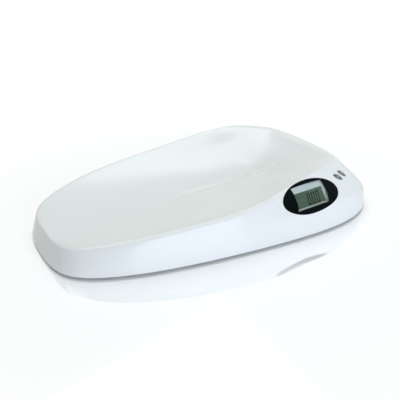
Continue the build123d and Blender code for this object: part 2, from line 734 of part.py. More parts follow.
BAY_BACK = BAY_LENGTH_Y / 2  # the hinge's side of the bay
HINGE_Y = BAY_BACK + BAY_WALL + DOOR_GAP + HINGE_RADIUS
HINGE_Z = BASE_BOTTOM + HINGE_RADIUS
DOOR_LENGTH = BAY_LENGTH_X + 2 * DOOR_LIP
DOOR_FRONT = -BAY_BACK - DOOR_LIP
RECESS_TOP = DOOR_TOP + DOOR_SEAT


def make_base_plate():
    """The base: a ribbed plate with screw towers, four cell pockets and the battery bay."""
    rim_top = BASE_BOTTOM + BASE_RIM_HEIGHT
    outer, inner = plan_inside(rim_top, WALL + FIT_GAP), plan_inside(rim_top, WALL + FIT_GAP + BASE_RIM_WALL)
    base = upright(outer, BASE_BOTTOM, rim_top) - upright(inner, BASE_TOP, rim_top + 1)
    adds = [upright(inner, BASE_TOP - 1, RIB_TOP) & joined(rib_grid())]
    for (x, y), _ in screw_places():
        tower = SCREW_HEAD + 2 * (SCREW_CLEARANCE + TOWER_WALL)
        adds.append(rod(tower, BASE_BOTTOM, TOWER_TOP, x, y))
    for x, y in feet.values():
        adds.append(upright(retainer_outline(FIT_GAP + POCKET_WALL), BASE_BOTTOM, POCKET_TOP, x, y))
    adds.append(bay_block())
    base = base + adds

    cuts = bay_cuts()
    for (x, y), _ in screw_places():
        cuts.append(rod(SCREW_HEAD + 2 * SCREW_CLEARANCE, BASE_BOTTOM - 1, HEAD_TOP, x, y))
        cuts.append(rod(SCREW_SHANK + 2 * SCREW_CLEARANCE, BASE_BOTTOM, TOWER_TOP + 1, x, y))
        cuts.append(rod(SCREW_SHANK + 2 * (BOSS_WALL + FIT_GAP), TOWER_TOP, RIB_TOP + 1, x, y))
    for x, y in feet.values():
        cuts.append(upright(retainer_outline(FIT_GAP), BASE_BOTTOM - 1, CELL_BOTTOM, x, y))
        seat = cell_outline() - rounded_square(CELL_INSIDE, CELL_CORNER / 2)
        seat = seat - Pos(0, GAUGE_CENTRE) * Rectangle(CELL_BRIDGE, GAUGE_LENGTH + 2 * FIT_GAP)
        pocket = upright(cell_outline(FIT_GAP), BASE_BOTTOM, POCKET_CEILING, x, y)
        cuts.append(pocket - upright(seat, CELL_TOP, POCKET_CEILING, x, y))
        for ear_x, ear_y in ear_places():
            cuts.append(rod(SMALL_SCREW + 2 * THREAD_FIT, CELL_BOTTOM - 1, pilot_top(), x + ear_x, y + ear_y))
    return base - cuts


def pilot_top():
    """Upper end of the hole for a retainer's screw."""
    return CELL_BOTTOM - RETAINER_THICKNESS + SMALL_SCREW_LENGTH + PILOT_EXTRA


def rib_grid():
    """Ribs across and along the plate."""
    reach_x, reach_y = SCALE_LENGTH, 2 * max(half for _, half in HALF_WIDTHS)
    ribs = [slab(reach_x, RIB_THICKNESS, BASE_TOP - 1, RIB_TOP, 0, y) for y in RIB_LINES_Y]
    ribs += [slab(RIB_THICKNESS, reach_y, BASE_TOP - 1, RIB_TOP, x, 0) for x in RIB_LINES_X]
    return ribs


def bay_block():
    """Walls and ceiling round the battery bay, still filled."""
    block = upright(bay_outline(BAY_WALL), BASE_BOTTOM, BAY_TOP, BAY_CENTRE_X)
    back = HINGE_Y + HINGE_RADIUS + DOOR_GAP + BAY_WALL
    front = DOOR_FRONT - DOOR_GAP - NOTCH_MARGIN
    half = DOOR_LENGTH / 2 + DOOR_GAP + HINGE_CHEEK
    apron = upright(rectangle(-half, half, front, back), BASE_BOTTOM, RECESS_TOP + BAY_WALL, BAY_CENTRE_X)
    housing_top = HINGE_Z + HINGE_RADIUS + DOOR_GAP + BAY_WALL
    housing = upright(rectangle(-half, half, BAY_BACK, back), BASE_BOTTOM, housing_top, BAY_CENTRE_X)
    return block + apron + housing


def hinge_rod(radius, length):
    """A cylinder on the door's hinge line."""
    return Pos(BAY_CENTRE_X, HINGE_Y, HINGE_Z) * Rot(0, 90, 0) * Cylinder(radius, length)


def bay_cuts():
    """The bay's inside, the door's recess, the hinge pocket with its two bores and the thumb notch."""
    inside = upright(bay_outline(), BASE_BOTTOM, BAY_CEILING, BAY_CENTRE_X)
    half = DOOR_LENGTH / 2 + DOOR_GAP
    recess = rectangle(-half, half, DOOR_FRONT - DOOR_GAP, HINGE_Y)
    recess = upright(recess, BASE_BOTTOM - 1, RECESS_TOP, BAY_CENTRE_X)
    round_pocket = hinge_rod(HINGE_RADIUS + DOOR_GAP, 2 * half)
    mouth = rectangle(-half, half, HINGE_Y - HINGE_RADIUS - DOOR_GAP, HINGE_Y + HINGE_RADIUS + DOOR_GAP)
    mouth = upright(mouth, BASE_BOTTOM - 1, HINGE_Z, BAY_CENTRE_X)
    bores = hinge_rod(HINGE_PIN / 2 + HINGE_FIT, 2 * (half + HINGE_PIN_LENGTH))
    notch = upright(Circle(NOTCH_RADIUS), BASE_BOTTOM - 1, BASE_BOTTOM + NOTCH_DEPTH, BAY_CENTRE_X, DOOR_FRONT)
    return [inside, recess, round_pocket, mouth, bores, notch]


# ================================================================ battery door, batteries and contacts
def make_battery_door():
    """The door: a plate flush with the underside, its knuckle with two pins, a rib and the latch's nib."""
    half = DOOR_LENGTH / 2
    plate = upright(rectangle(-half, half, DOOR_FRONT, HINGE_Y), BASE_BOTTOM, DOOR_TOP, BAY_CENTRE_X)
    pins = hinge_rod(HINGE_PIN / 2, DOOR_LENGTH + 2 * (DOOR_GAP + HINGE_PIN_LENGTH - HINGE_FIT))
    knuckle = hinge_rod(HINGE_RADIUS, DOOR_LENGTH) + pins
    nib = Rot(0, 90, 0) * Cylinder(LATCH_NIB, LATCH_WIDTH)
    nib = Pos(BAY_CENTRE_X, DOOR_FRONT, (BASE_BOTTOM + DOOR_TOP) / 2) * nib
    grip = []
    for k in range(GRIP_LINES):
        y = DOOR_FRONT + (k + 1.5) * GRIP_PITCH
        grip.append(slab(LATCH_WIDTH, GRIP_PITCH / 2, BASE_BOTTOM - 1, BASE_BOTTOM + GRIP_DEPTH, BAY_CENTRE_X, y))
    return (plate + knuckle + nib) - grip


def battery_rows():
    """Plan place and direction of each cell; +1 points its nub at the hinge's side."""
    first = BAY_CENTRE_X - (BATTERY_COUNT - 1) * BATTERY_PITCH / 2
    return [(first + k * BATTERY_PITCH, 1 if k % 2 == 0 else -1) for k in range(BATTERY_COUNT)]


def battery_centre(direction):
    """Middle of a cell along the bay: its nub rests on a flat contact, its foot on a spring."""
    return direction * (BAY_LENGTH_Y / 2 - CONTACT_THICKNESS - BATTERY_LENGTH / 2)


def make_battery(x, direction):
    """A round cell along Y, with its steel nub."""
    can_length = BATTERY_LENGTH - BATTERY_NUB_LENGTH
    up = (Align.CENTER, Align.CENTER, Align.MIN)
    can = Cylinder(BATTERY_DIAMETER / 2, can_length, align=up)
    can = fillet(can.edges(), BATTERY_EDGE)
    nub = Pos(0, 0, can_length) * Cylinder(BATTERY_NUB / 2, BATTERY_NUB_LENGTH, align=up)
    cell = Pos(0, 0, -BATTERY_LENGTH / 2) * (can + nub)
    return Pos(x, battery_centre(direction), BATTERY_AXIS) * Rot(-90 * direction, 0, 0) * cell


def make_battery_springs():
    """A coil at the foot of each cell."""
    coil = SPRING_LENGTH * SPRING_SHARE
    helix = Helix(coil / SPRING_TURNS, coil - SPRING_WIRE, SPRING_RADIUS)
    wire = sweep(Plane(origin=helix @ 0, z_dir=helix % 0) * Circle(SPRING_WIRE / 2), path=helix)
    springs = []
    for x, direction in battery_rows():
        foot = battery_centre(direction) - direction * BATTERY_LENGTH / 2
        place = Pos(x, foot, BATTERY_AXIS) * Rot(90 * direction, 0, 0)
        springs.append(place * Pos(0, 0, SPRING_WIRE / 2 + SPRING_FREE) * wire)
    return springs


def make_battery_contacts():
    """The plates at both ends of the bay: one for each nub and one behind each spring."""
    plates = []
    for x, _ in battery_rows():
        for side in (-1, 1):
            y = side * (BAY_LENGTH_Y - CONTACT_THICKNESS) / 2
            z = BATTERY_AXIS - CONTACT_SIZE / 2
            plates.append(slab(CONTACT_SIZE, CONTACT_THICKNESS, z, z + CONTACT_SIZE, x, y))
    return plates


# ================================================================ load cells and feet
def make_load_cell(x, y):
    """A steel plate with a tongue inside a frame, joined by one strained bridge."""
    tongue = rounded_square(CELL_INSIDE - 2 * CELL_SLOT, CELL_CORNER / 2)
    slot = rounded_square(CELL_INSIDE, CELL_CORNER / 2) - tongue
    slot = slot - Pos(0, CELL_INSIDE / 2) * Rectangle(CELL_BRIDGE, 3 * CELL_SLOT)
    hole = Circle(FOOT_STUD / 2 + FOOT_STUD_FIT)
    return upright(cell_outline() - slot - hole, CELL_BOTTOM, CELL_TOP, x, y)


def make_strain_gauges():
    """The gauge on each cell's bridge."""
    top = CELL_TOP + GAUGE_THICKNESS
    return [slab(GAUGE_WIDTH, GAUGE_LENGTH, CELL_TOP, top, x, y + GAUGE_CENTRE) for x, y in feet.values()]


def make_retainer(x, y):
    """The frame that holds a cell in its pocket, open for the foot's neck."""
    shape = retainer_outline() - Circle(RETAINER_HOLE / 2)
    for ear_x, ear_y in ear_places():
        shape = shape - Pos(ear_x, ear_y) * Circle(SMALL_SCREW / 2 + SCREW_CLEARANCE)
    return upright(shape, CELL_BOTTOM - RETAINER_THICKNESS, CELL_BOTTOM, x, y)


def make_foot(x, y):
    """The foot: a disc with a neck, and a stud clipped into the cell's tongue."""
    disc = fillet(rod(FOOT_DIAMETER, FOOT_BOTTOM, FOOT_TOP).edges(), FOOT_EDGE)
    foot = disc + rod(FOOT_NECK, FOOT_TOP - 1, CELL_BOTTOM) + rod(FOOT_STUD, CELL_BOTTOM - 1, CELL_TOP)
    foot = foot + rod(FOOT_STUD + 2 * FOOT_CLIP, CELL_TOP, CELL_TOP + FOOT_CLIP)
    return Pos(x, y) * (foot - rod(PAD_DIAMETER, FOOT_BOTTOM - 1, FOOT_BOTTOM + PAD_RECESS))


def make_foot_pad(x, y):
    """The rubber pad that the scale stands on."""
    pad = rod(PAD_DIAMETER, 0, PAD_THICKNESS, x, y)
    return fillet(pad.edges().sort_by(Axis.Z)[0], PAD_EDGE)


def retainer_screw_places():
    face = CELL_BOTTOM - RETAINER_THICKNESS
    return [Pos(x + ear_x, y + ear_y, face) for x, y in feet.values() for ear_x, ear_y in ear_places()]


# ================================================================ display
def make_bezel():
    """The black oval bezel, flush with the tray, with four posts for the board."""
    under = sunk(display_skin, display_plane, BEZEL_THICKNESS)
    plate = (prism(display_plane, bezel_outline(), -DEEP, PROUD) & display_skin) - under
    middle = sunk(display_skin, display_plane, BEZEL_THICKNESS / 2)
    post = Circle(POST_DIAMETER / 2)
    posts = [prism(display_plane, Pos(x, y) * post, BOARD_FACE, PROUD) for x, y in post_places]
    bezel = plate + (joined(posts) & middle)
    pilot_end = BOARD_BACK + SMALL_SCREW_LENGTH + PILOT_EXTRA
    cuts = [prism(display_plane, window_outline(), -DEEP, PROUD)]
    for x, y in post_places:
        cuts.append(prism(display_plane, Pos(x, y) * small_pilot(), BOARD_FACE - 1, pilot_end))
    return bezel - cuts


def make_bezel_tape():
    """Adhesive tape between the bezel and the tray's ledge."""
    front, back = BEZEL_THICKNESS + TAPE_PLAY, BEZEL_THICKNESS + TAPE_THICKNESS - TAPE_PLAY
    ring = prism(display_plane, bezel_outline() - display_opening(), -DEEP, PROUD)
    return (ring & sunk(display_skin, display_plane, front)) - sunk(display_skin, display_plane, back)


def make_window():
    """The clear lens: a pane flush in the bezel, with a flange behind it."""
    under = sunk(display_skin, display_plane, BEZEL_THICKNESS)
    behind = sunk(display_skin, display_plane, WINDOW_BACK)
    pane = (prism(display_plane, window_outline(-LENS_FIT), -DEEP, PROUD) & display_skin) - under
    ring = window_outline(WINDOW_FLANGE) - window_outline(-WINDOW_FLANGE_INSIDE)
    flange = (prism(display_plane, ring, -DEEP, PROUD) & under) - behind
    return pane + flange


def make_lcd_frame():
    """The white frame between lens and board: it holds the glass, and shows round it."""
    behind = sunk(display_skin, display_plane, WINDOW_BACK)
    body = prism(display_plane, window_outline(FRAME_WALL), GLASS_FACE, PROUD) & behind
    body = body + prism(display_plane, glass_outline(FIT_GAP + FRAME_WALL), BOARD_FACE, GLASS_FACE + FRAME_FLOOR / 2)
    active = rectangle(-LCD_LEFT, LCD_RIGHT, -LCD_BOTTOM, LCD_TOP) & window_outline()
    return body - [
        prism(display_plane, window_outline(), GLASS_FACE + FRAME_FLOOR, PROUD),
        prism(display_plane, active, GLASS_BACK, GLASS_FACE + FRAME_FLOOR),
        prism(display_plane, glass_outline(FIT_GAP), BOARD_FACE - 1, GLASS_FACE),
    ]


def make_lcd_panel():
    return prism(display_plane, glass_outline(), GLASS_BACK, GLASS_FACE)


def make_zebra_strips():
    """Two elastomer strips that join the glass to the board."""
    strips = []
    for y in (-LCD_BOTTOM - LCD_BORDER / 2, LCD_TOP + LCD_BORDER / 2):
        strip = rectangle(-LCD_LEFT, LCD_RIGHT, y - ZEBRA_WIDTH / 2, y + ZEBRA_WIDTH / 2)
        strips.append(prism(display_plane, strip, BOARD_FACE, GLASS_BACK))
    return strips


def make_main_board():
    """The circuit board behind the display."""
    shape = rectangle(-BOARD_LENGTH / 2, BOARD_LENGTH / 2, -BOARD_BOTTOM, BOARD_TOP)
    shape = fillet(shape.vertices(), BOARD_CORNER)
    for x, y in post_places:
        shape = shape - Pos(x, y) * Circle(SMALL_SCREW / 2 + SCREW_CLEARANCE)
    return prism(display_plane, shape, BOARD_BACK, BOARD_FACE)


def on_board_back(sketch, height):
    """A part on the back of the main board."""
    return prism(display_plane, sketch, BOARD_BACK - height, BOARD_BACK)


def make_controller_chip():
    return on_board_back(Pos(CHIP_X, 0) * Rectangle(CHIP_SIZE, CHIP_SIZE), CHIP_HEIGHT)


def make_capacitors():
    """Two upright capacitors."""
    can = Circle(CAPACITOR_DIAMETER / 2)
    return [on_board_back(Pos(x, CAPACITORS_Y) * can, PARTS_HEIGHT) for x in CAPACITORS_X]


def make_connectors():
    """The row of plug sockets: four for the cells, one for the battery and one for the keys."""
    socket = Rectangle(CONNECTOR_LENGTH, CONNECTOR_WIDTH)
    places = [Pos(FIRST_CONNECTOR_X + k * CONNECTOR_PITCH, CONNECTORS_Y) for k in range(CONNECTOR_COUNT)]
    return [on_board_back(place * socket, PARTS_HEIGHT) for place in places]


def board_screw_places(plane, places, face):
    """Locations of screws that enter a board from behind."""
    return [plane.location * Pos(x, y, face) for x, y in places]


# ================================================================ keys
def make_key(place):
    """A leaf-shaped key: its cap follows the skin, a flange keeps it in, and a stem meets the switch."""
    cap = (prism(keys_plane, place * leaf(), KEY_BACK, PROUD)) & sunk(keys_skin, keys_plane, -KEY_PROUD)
    flange = prism(keys_plane, place * leaf(KEY_GAP + KEY_FLANGE), KEY_BACK, PROUD)
    flange = flange & sunk(keys_hollow, keys_plane, KEY_STOP)
    stem = prism(keys_plane, place * Circle(KEY_STEM / 2), PLUNGER_FACE, KEY_BACK + 0.5)
    return cap + flange + stem


def make_plunger(place):
    """The plunger of a key's switch."""
    return prism(keys_plane, place * Circle(PLUNGER_DIAMETER / 2), SWITCH_FACE - PLUNGER_SINK, PLUNGER_FACE)


def make_key_switches():
    """The housing of each switch, with the bore for its plunger."""
    housings = []
    for place in key_places.values():
        body = prism(keys_plane, place * Rectangle(SWITCH_SIZE, SWITCH_SIZE), KEY_BOARD_FACE, SWITCH_FACE)
        bore = place * Circle(PLUNGER_DIAMETER / 2 + PLUNGER_FIT)
        depth = PLUNGER_SINK + KEY_TRAVEL + FIT_GAP
        housings.append(body - prism(keys_plane, bore, SWITCH_FACE - depth, SWITCH_FACE + 1))
    return housings


def make_key_board():
    """The small board behind the keys."""
    shape = Rectangle(KEY_BOARD_LENGTH, KEY_BOARD_WIDTH)
    for x, y in key_post_places:
        shape = shape - Pos(x, y) * Circle(SMALL_SCREW / 2 + SCREW_CLEARANCE)
    return prism(keys_plane, shape, KEY_BOARD_BACK, KEY_BOARD_FACE)


# ================================================================ the nodes
def all_parts():
    """Every piece under the name of its node."""
    parts = {"tray_shell": make_tray_shell(), "base_plate": make_base_plate(), "base_screws": make_base_screws()}
    for name, (x, y) in feet.items():
        parts[f"load_cell_{name}"] = make_load_cell(x, y)
        parts[f"cell_retainer_{name}"] = make_retainer(x, y)
        parts[f"foot_{name}"] = make_foot(x, y)
        parts[f"foot_pad_{name}"] = make_foot_pad(x, y)
    parts["strain_gauges"] = make_strain_gauges()
    parts["retainer_screws"] = small_screws(retainer_screw_places())
    parts["battery_door"] = make_battery_door()
    for number, (x, direction) in enumerate(battery_rows(), 1):
        parts[f"battery_{number}"] = make_battery(x, direction)
    parts["battery_springs"] = make_battery_springs()
    parts["battery_contacts"] = make_battery_contacts()
    parts["display_bezel"] = make_bezel()
    parts["bezel_tape"] = make_bezel_tape()
    parts["display_window"] = make_window()
    parts["lcd_frame"] = make_lcd_frame()
    parts["lcd_panel"] = make_lcd_panel()
    parts["zebra_strips"] = make_zebra_strips()
    parts["main_board"] = make_main_board()
    parts["controller_chip"] = make_controller_chip()
    parts["board_capacitors"] = make_capacitors()
    parts["board_connectors"] = make_connectors()
    parts["display_screws"] = small_screws(board_screw_places(display_plane, post_places, BOARD_BACK))
    for name, place in key_places.items():
        parts[f"{name}_key"] = make_key(place)
        parts[f"{name}_plunger"] = make_plunger(place)
    parts["key_switches"] = make_key_switches()
    parts["key_board"] = make_key_board()
    parts["key_board_screws"] = small_screws(board_screw_places(keys_plane, key_post_places, KEY_BOARD_BACK))
    return parts


os.makedirs("parts", exist_ok=True)
for name, shape in all_parts().items():
    if isinstance(shape, list):
        shape = Compound(children=[piece for item in shape for piece in item.solids()])
    export_step(shape, f"parts/{name}.step")
    print(name)
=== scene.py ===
import json
import math

import bpy
from mathutils import Matrix, Vector
from mathutils.bvhtree import BVHTree


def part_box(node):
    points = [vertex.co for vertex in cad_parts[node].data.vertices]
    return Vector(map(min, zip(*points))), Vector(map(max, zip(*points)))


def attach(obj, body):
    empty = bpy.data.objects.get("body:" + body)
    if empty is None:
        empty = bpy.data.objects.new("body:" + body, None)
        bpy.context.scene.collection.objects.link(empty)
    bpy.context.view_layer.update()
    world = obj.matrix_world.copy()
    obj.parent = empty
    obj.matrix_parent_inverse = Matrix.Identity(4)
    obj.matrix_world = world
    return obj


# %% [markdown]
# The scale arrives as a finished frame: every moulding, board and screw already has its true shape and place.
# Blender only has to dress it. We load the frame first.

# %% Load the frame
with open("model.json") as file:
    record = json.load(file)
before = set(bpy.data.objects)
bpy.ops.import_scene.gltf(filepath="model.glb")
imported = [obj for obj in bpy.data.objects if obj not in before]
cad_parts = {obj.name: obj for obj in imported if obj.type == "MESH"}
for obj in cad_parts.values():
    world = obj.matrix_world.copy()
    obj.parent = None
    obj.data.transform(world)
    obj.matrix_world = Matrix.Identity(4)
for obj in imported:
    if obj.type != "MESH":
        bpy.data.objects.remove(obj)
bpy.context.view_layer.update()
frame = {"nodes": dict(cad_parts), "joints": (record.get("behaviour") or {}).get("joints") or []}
NODES = frame["nodes"]

# %% [markdown]
# Paint charts and screens give colours as sRGB hex, but a renderer adds light in linear numbers.
# One function does that change for every colour below, and another adds a shader or geometry node, sets it
# and links it, so that each tree reads as a short list.


# %% Helpers for colours and nodes
def linear(hex_colour):
    """An sRGB hex colour as four linear numbers, by the sRGB curve's own formula."""
    parts = [int(hex_colour[i:i + 2], 16) / 255 for i in (1, 3, 5)]
    return [c / 12.92 if c <= 0.04045 else ((c + 0.055) / 1.055) ** 2.4 for c in parts] + [1.0]


def add_node(tree, kind, settings=None, **inputs):
    """A node with its settings and inputs; an input is a value, or an output socket to link from."""
    node = tree.nodes.new(kind)
    for name, value in (settings or {}).items():
        setattr(node, name, value)
    for name, value in inputs.items():
        socket = node.inputs[int(name[1:])] if name[1:].isdigit() else node.inputs[name.replace("_", " ")]
        if isinstance(value, bpy.types.NodeSocket):
            tree.links.new(value, socket)
        else:
            socket.default_value = value
    return node


print("white in linear numbers:", [round(c, 3) for c in linear("#F2F4F4")])

# %% [markdown]
# Almost every finish here is one shader with a colour, a roughness and an index of refraction. A plastic that
# comes out of a polished steel mould is smooth, one out of a spark-eroded mould is matt, and a small
# bump of the right grain tells them apart. The grain is given in millimetres, and the function turns it
# into the scale of a noise pattern.


# %% A material from its real values
MM = 0.001  # Blender counts in metres


def finish(name, colour, roughness, ior=1.5, metallic=0.0, coat=0.0, grain_mm=None, grain_depth_mm=0.0):
    """A material named for its stuff. grain_mm is the width of the surface's grain."""
    material = bpy.data.materials.new(name)
    material.use_nodes = True
    tree = material.node_tree
    shader = tree.nodes["Principled BSDF"]
    shader.inputs["Base Color"].default_value = linear(colour)
    shader.inputs["Roughness"].default_value = roughness
    shader.inputs["IOR"].default_value = ior
    shader.inputs["Metallic"].default_value = metallic
    shader.inputs["Coat Weight"].default_value = coat
    if grain_mm:
        place = add_node(tree, "ShaderNodeTexCoord")
        grains_per_metre = 1 / (grain_mm * MM)
        noise = add_node(tree, "ShaderNodeTexNoise", Vector=place.outputs["Object"], Scale=grains_per_metre)
        bump = add_node(tree, "ShaderNodeBump", Height=noise.outputs[0], Distance=grain_depth_mm * MM)
        tree.links.new(bump.outputs[0], shader.inputs["Normal"])
    return material


print("a millimetre in metres:", MM)

# %% [markdown]
# The tray is ABS from a mirror-polished mould: white, with a clear gloss that carries long soft reflections.
# The bezel is the same plastic in black, with an index set well under the plastic's 1.54, so that it
# mirrors as little as it should. The base and the battery door come from a plainer mould with a fine
# spark texture. It is drawn half a millimetre wide, coarser than a real one, so that a close view shows it.

# %% Plastics
GLOSS_WHITE = finish("white ABS, polished mould", "#EDF0F0", 0.18, ior=1.54)  # long soft reflections
GLOSS_BLACK = finish("black ABS, polished mould", "#020A0B", 0.10, ior=1.12)  # deep black, hardly a glint
MATT_WHITE = finish("white ABS, spark texture", "#E4E7E6", 0.45, grain_mm=0.5, grain_depth_mm=0.02)  # matt
INNER_WHITE = finish("white ABS, satin mould", "#F1F4F1", 0.35)  # a soft sheen
KEY_GREY = finish("grey ABS key, satin mould", "#435450", 0.28)  # soft highlights on the caps
MARK_WHITE = finish("pale pad-printed ink", "#D9E2DF", 0.5)  # dull and pale
DARK_PLASTIC = finish("black moulded epoxy", "#161818", 0.5)  # dull black
print("plastics:", len(bpy.data.materials))

# %% [markdown]
# Under the tray are rubber pads, steel load cells, zinc-plated screws and green circuit boards. They are
# rarely seen, but the underside and the open battery bay show some of them. Plated metal is bright and
# smooth, and the ground steel of the load cells is duller, with a fine grain.

# %% Rubber, steel and boards
PAD_RUBBER = finish("grey rubber foot pad", "#3A3C3D", 0.8, grain_mm=1.0, grain_depth_mm=0.05)  # dead matt
FOAM_TAPE = finish("black foam tape", "#101010", 0.9)  # swallows light
ZEBRA = finish("striped elastomer", "#4A4A4C", 0.7)  # its stripes are too fine to see, so plain grey
ZINC = finish("zinc-plated screw steel", "#B9BCC0", 0.3, metallic=1.0)  # bright, a little blue
CELL_STEEL = finish("ground alloy steel", "#9DA0A3", 0.4, metallic=1.0, grain_mm=0.3, grain_depth_mm=0.01)
SPRING_STEEL = finish("nickel-plated spring steel", "#C6C5C0", 0.25, metallic=1.0)  # bright, a little warm
GAUGE_FILM = finish("amber polyimide film", "#B97B2E", 0.4)  # amber with a half gloss
SOLDER_MASK = finish("green solder mask", "#1F5B36", 0.35, coat=0.4)  # dark green under a thin clear coat
SLEEVE = finish("printed cell sleeve", "#2B5B4C", 0.3)  # smooth green film
print("materials:", len(bpy.data.materials))

# %% [markdown]
# The LCD has a reflective polariser behind its glass. Without a backlight it looks like dull grey-green
# metal, so we use a rough dielectric of that colour. The segments are nearly black.

# %% Display finishes
LCD_GREEN = finish("reflective LCD polariser", "#3A5A41", 0.45)  # dull grey-green
SURROUND = finish("pale surround of the LCD", "#E0E6E6", 0.5)  # dull white
LCD_INK = finish("LCD segment, switched on", "#060A08", 0.6, ior=1.2)  # near black, with a low index
print("materials with the display's:", len(bpy.data.materials))

# %% [markdown]
# The lens over the display is a thin pane of acrylic. Light passes it almost in a straight line, so the pane
# lets it straight through and mirrors a little, more so at grazing angles. Bent light would come out noisy on
# the digits behind it. The pane's index is set well under acrylic's 1.49, to keep the display dark.

# %% Clear acrylic
PANE_INDEX = 1.2  # chosen under acrylic's 1.49


def clear_acrylic():
    """A thin pane, open to light from both sides."""
    material = bpy.data.materials.new("clear acrylic lens")
    material.use_nodes = True
    tree = material.node_tree
    tree.nodes.clear()
    through = add_node(tree, "ShaderNodeBsdfTransparent", Color=linear("#FAFCFB"))
    mirror = add_node(tree, "ShaderNodeBsdfAnisotropic", Color=linear("#FFFFFF"), Roughness=0.03)
    share = add_node(tree, "ShaderNodeFresnel", IOR=PANE_INDEX).outputs[0]
    mix = add_node(tree, "ShaderNodeMixShader", _0=share, _1=through.outputs[0], _2=mirror.outputs[0])
    add_node(tree, "ShaderNodeOutputMaterial", Surface=mix.outputs[0])
    return material


ACRYLIC = clear_acrylic()
print("index of the pane:", PANE_INDEX)

# %% [markdown]
# Each node of the frame now gets its finish. A name that starts a group of nodes, such as foot_pad, stands
# for all of them.

# %% Dress the nodes
FINISHES = {
    "tray_shell": GLOSS_WHITE, "base_plate": MATT_WHITE, "battery_door": MATT_WHITE,
    "cell_retainer": MATT_WHITE, "foot_pad": PAD_RUBBER, "foot": INNER_WHITE,
    "load_cell": CELL_STEEL, "strain_gauges": GAUGE_FILM, "base_screws": ZINC, "retainer_screws": ZINC,
    "display_screws": ZINC, "key_board_screws": ZINC,
    "battery_springs": SPRING_STEEL, "battery_contacts": SPRING_STEEL, "battery_": SLEEVE,
    "display_bezel": GLOSS_BLACK, "bezel_tape": FOAM_TAPE, "display_window": ACRYLIC,
    "lcd_frame": SURROUND, "lcd_panel": LCD_GREEN, "zebra_strips": ZEBRA,
    "main_board": SOLDER_MASK, "key_board": SOLDER_MASK, "controller_chip": DARK_PLASTIC,
    "board_capacitors": DARK_PLASTIC, "board_connectors": INNER_WHITE, "key_switches": DARK_PLASTIC,
    "on_off_key": KEY_GREY, "zero_key": KEY_GREY,
    "on_off_plunger": DARK_PLASTIC, "zero_plunger": DARK_PLASTIC,
}


def finish_of(node_name):
    """The finish whose key is the longest start of the node's name."""
    keys = [key for key in FINISHES if node_name.startswith(key)]
    return FINISHES[max(keys, key=len)]


for node_name, node in NODES.items():
    node.data.materials.clear()
    node.data.materials.append(finish_of(node_name))
print("dressed:", len(NODES))

# %% [markdown]
# The frame's meshes are loose triangles, and a polished tray made of loose flat triangles would glitter like
# a cut stone. A small geometry tree welds each mesh and shades it smooth, except across edges that turn more
# than a set angle, which are the real corners. It stays on the nodes as a modifier. The tray takes a wider
# weld and angle, and its normals are weighed by face area, so that its narrow triangles show less.


# %% A tree that smooths the shading
def shading_tree():
    """Welds loose triangles, and keeps only true corners sharp."""
    tree = bpy.data.node_groups.new("smooth_mouldings", "GeometryNodeTree")
    tree.interface.new_socket("Geometry", in_out="INPUT", socket_type="NodeSocketGeometry")
    tree.interface.new_socket("Weld Distance", in_out="INPUT", socket_type="NodeSocketFloat")
    tree.interface.new_socket("Corner Angle", in_out="INPUT", socket_type="NodeSocketFloat")
    tree.interface.new_socket("Geometry", in_out="OUTPUT", socket_type="NodeSocketGeometry")
    given, made = add_node(tree, "NodeGroupInput"), add_node(tree, "NodeGroupOutput")
    weld = add_node(tree, "GeometryNodeMergeByDistance", Geometry=given.outputs[0], Distance=given.outputs[1])
    smooth = add_node(tree, "GeometryNodeSetShadeSmooth", _0=weld.outputs[0])
    angle = add_node(tree, "GeometryNodeInputMeshEdgeAngle")
    greater = {"operation": "GREATER_THAN"}
    corner = add_node(tree, "FunctionNodeCompare", greater, _0=angle.outputs[0], _1=given.outputs[2])
    by_edge = {"domain": "EDGE"}
    sharp = add_node(tree, "GeometryNodeSetShadeSmooth", by_edge, _0=smooth.outputs[0], _1=corner.outputs[0])
    sharp.inputs["Shade Smooth"].default_value = False
    tree.links.new(sharp.outputs[0], made.inputs[0])
    return tree


def set_inputs(modifier, **values):
    """Sets a geometry modifier's inputs, found by name and set by identifier."""
    for item in modifier.node_group.interface.items_tree:
        name = item.name.replace(" ", "_")
        if item.in_out == "INPUT" and name in values:
            modifier[item.identifier] = values[name]


WELD, CORNER = 0.002 * MM, math.radians(28)
TRAY_WELD, TRAY_CORNER = 0.02 * MM, math.radians(60)
SMOOTH = shading_tree()
for node in NODES.values():
    modifier = node.modifiers.new("smooth mouldings", "NODES")
    modifier.node_group = SMOOTH
    weld, corner = (TRAY_WELD, TRAY_CORNER) if node.name == "tray_shell" else (WELD, CORNER)
    set_inputs(modifier, Weld_Distance=weld, Corner_Angle=corner)
weighted = NODES["tray_shell"].modifiers.new("normals by face area", "WEIGHTED_NORMAL")
weighted.keep_sharp = True
print("smoothed:", len(NODES))

# %% [markdown]
# The segments of an LCD lie in the glass, so they are placed on the LCD panel itself. Its biggest flat face
# gives a small frame of its own: where its middle is, which way is level and which way is out. Anything
# on the display is then drawn flat, in millimetres, and set into that frame.


# %% The LCD's own frame
def face_frame(node, outwards):
    """Matrix at the middle of a node's outward face: x is level, y is up the face and z is out."""
    mesh = node.data
    area = {}
    for face in mesh.polygons:
        key = tuple(round(c, 3) for c in face.normal)
        area[key] = area.get(key, 0.0) + face.area
    normal = Vector(max((k for k in area if Vector(k).dot(outwards) > 0), key=area.get)).normalized()
    level = Vector((0, 0, 1)).cross(normal).normalized()
    up = normal.cross(level)
    corners = [v.co for v in mesh.vertices]
    middle = Vector((0, 0, 0))
    for axis in (level, up):
        reach = [corner.dot(axis) for corner in corners]
        middle += axis * (min(reach) + max(reach)) / 2
    middle += normal * max(corner.dot(normal) for corner in corners)
    matrix = Matrix((level, up, normal)).transposed().to_4x4()
    matrix.translation = middle
    return matrix


